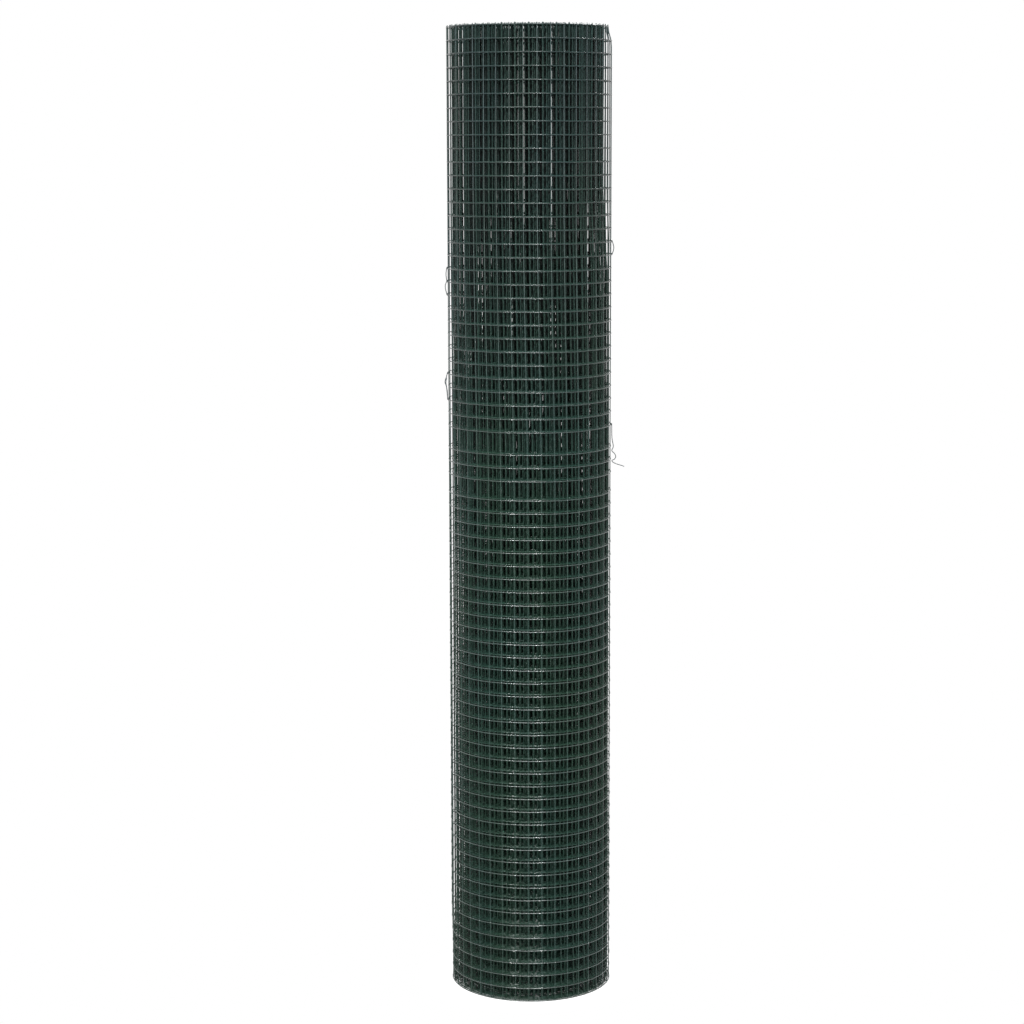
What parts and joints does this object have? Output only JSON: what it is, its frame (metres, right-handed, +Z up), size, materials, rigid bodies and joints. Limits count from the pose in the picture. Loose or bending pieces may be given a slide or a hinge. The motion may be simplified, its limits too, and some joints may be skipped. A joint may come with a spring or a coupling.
{
  "type": "roll of wire mesh fencing",
  "caption": "Roll of green PVC-coated welded wire mesh, 1 m wide and 10 m long, 13 mm square openings, standing on its end, its last turn loose and held by tie wires.",
  "frame": {"origin": "centre of the roll's bore, in the plane of the end that it stands on", "axes": "+Z up the axis of the roll, -Y towards the picture's camera, +X to the right as the picture shows it"},
  "size_m": [0.1867, 0.1688, 1],
  "materials": {
    "pvc_green": "semi-gloss dark green PVC coating over steel wire",
    "tie_pvc": "semi-gloss dark grey-green PVC coating over thin steel wire"
  },
  "bodies": {
    "root": {"mesh_roll": "pvc_green", "tie_wire_right_upper": "tie_pvc", "tie_wire_right_lower": "tie_pvc", "tie_wire_left_upper": "tie_pvc", "tie_wire_left_lower": "tie_pvc"}
  },
  "joints": []
}
